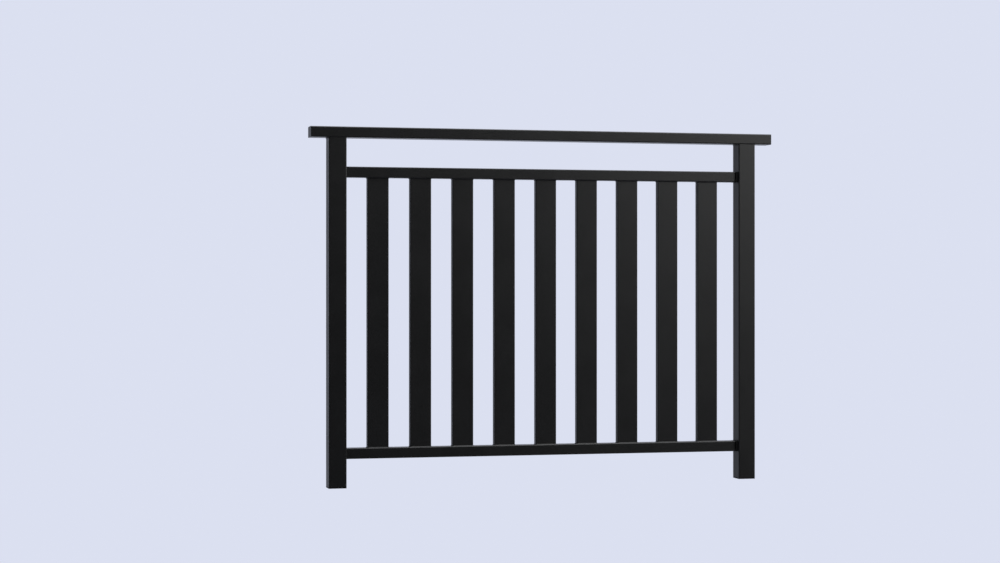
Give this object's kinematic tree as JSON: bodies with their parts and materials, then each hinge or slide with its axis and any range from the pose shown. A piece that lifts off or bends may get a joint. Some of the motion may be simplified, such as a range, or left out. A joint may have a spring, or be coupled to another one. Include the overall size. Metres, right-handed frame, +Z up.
{
  "type": "juliet balcony",
  "caption": "Black metal window guard for an outside wall: square posts, a flat handrail and upright flat slats between two rails, hung on hidden stand-offs.",
  "frame": {"origin": "middle of the lower left stand-off's wall face, on the wall plane, with the left post in front of it", "axes": "+X to the right along the facade as seen from outside, +Y into the wall, +Z up"},
  "size_m": [1.35, 0.09, 1],
  "materials": {
    "black_coat": "satin black powder coat on steel tube",
    "black_plastic": "matt black moulded plastic",
    "zinc_steel": "zinc-plated turned steel"
  },
  "bodies": {
    "root": {"left_post": "black_coat", "right_post": "black_coat", "handrail": "black_coat", "handrail_left_end_plate": "black_coat", "handrail_right_end_plate": "black_coat", "top_rail": "black_coat", "bottom_rail": "black_coat", "slat_1": "black_coat", "slat_2": "black_coat", "slat_3": "black_coat", "slat_4": "black_coat", "slat_5": "black_coat", "slat_6": "black_coat", "slat_7": "black_coat", "slat_8": "black_coat", "slat_9": "black_coat", "left_foot_cap": "black_plastic", "right_foot_cap": "black_plastic", "top_rail_shoe": "black_plastic", "bottom_rail_shoe": "black_plastic", "lower_left_standoff": "zinc_steel", "upper_left_standoff": "zinc_steel", "lower_right_standoff": "zinc_steel", "upper_right_standoff": "zinc_steel"}
  },
  "joints": []
}
